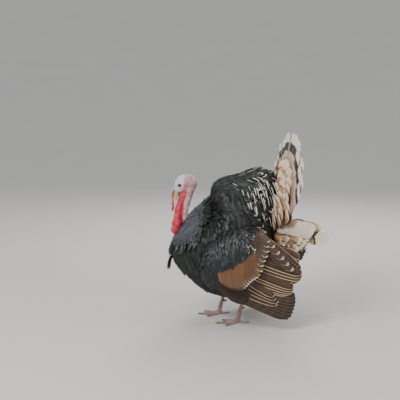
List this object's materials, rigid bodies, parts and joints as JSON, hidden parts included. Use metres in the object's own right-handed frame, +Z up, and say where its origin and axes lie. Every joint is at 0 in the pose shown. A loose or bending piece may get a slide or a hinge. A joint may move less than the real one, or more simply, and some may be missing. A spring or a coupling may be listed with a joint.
{
  "type": "domestic turkey figure",
  "caption": "Life-size still model of a strutting domestic turkey tom with fanned tail, drooped wings and bare carunculated head, standing on the floor on its soles.",
  "frame": {"origin": "on the floor, under the middle of the whole bird's box", "axes": "+Z up; the bird faces -X, its left side is towards -Y"},
  "size_m": [0.6003, 0.7416, 0.7402],
  "materials": {
    "plumage": "glossy black body feathers with a green and bronze sheen",
    "down": "soft loose feathers",
    "shoulder": "glossy black wing coverts with a green and blue sheen",
    "flight": "brown flight feathers with pale edges",
    "quill": "dark brown outer flight feathers",
    "covert": "cream tail coverts with tan centres",
    "fan": "barred tan tail feathers with a black band and a cream tip",
    "skin": "bare pale blue-grey skin",
    "neck_skin": "bare pink carunculated skin",
    "red_skin": "bare red carunculated skin",
    "snood": "soft red-pink skin",
    "horn": "pale horn",
    "scale": "scaly pinkish-brown skin",
    "claw": "dark horn",
    "eye": "glossy dark eye",
    "bristle": "coarse black bristles"
  },
  "bodies": {
    "root": {"beard": "bristle", "bill_lower": "horn", "bill_upper": "horn", "claw_left_hind": "claw", "claw_left_inner": "claw", "claw_left_middle": "claw", "claw_left_outer": "claw", "claw_right_hind": "claw", "claw_right_inner": "claw", "claw_right_middle": "claw", "claw_right_outer": "claw", "eye_left": "eye", "eye_right": "eye", "foot_left": "scale", "foot_right": "scale", "head": "skin", "neck": "neck_skin", "snood": "snood", "spur_left": "claw", "spur_right": "claw", "tail_coverts": "covert", "tail_fan": "fan", "tail_outer_left": "fan", "tail_outer_right": "fan", "tail_side_coverts_left": "covert", "tail_side_coverts_right": "covert", "thigh_left": "down", "thigh_right": "down", "trunk": "plumage", "undertail": "down", "wattle": "red_skin", "wing_left_coverts": "shoulder", "wing_left_primaries": "quill", "wing_left_secondaries": "flight", "wing_right_coverts": "shoulder", "wing_right_primaries": "quill", "wing_right_secondaries": "flight"}
  },
  "joints": []
}
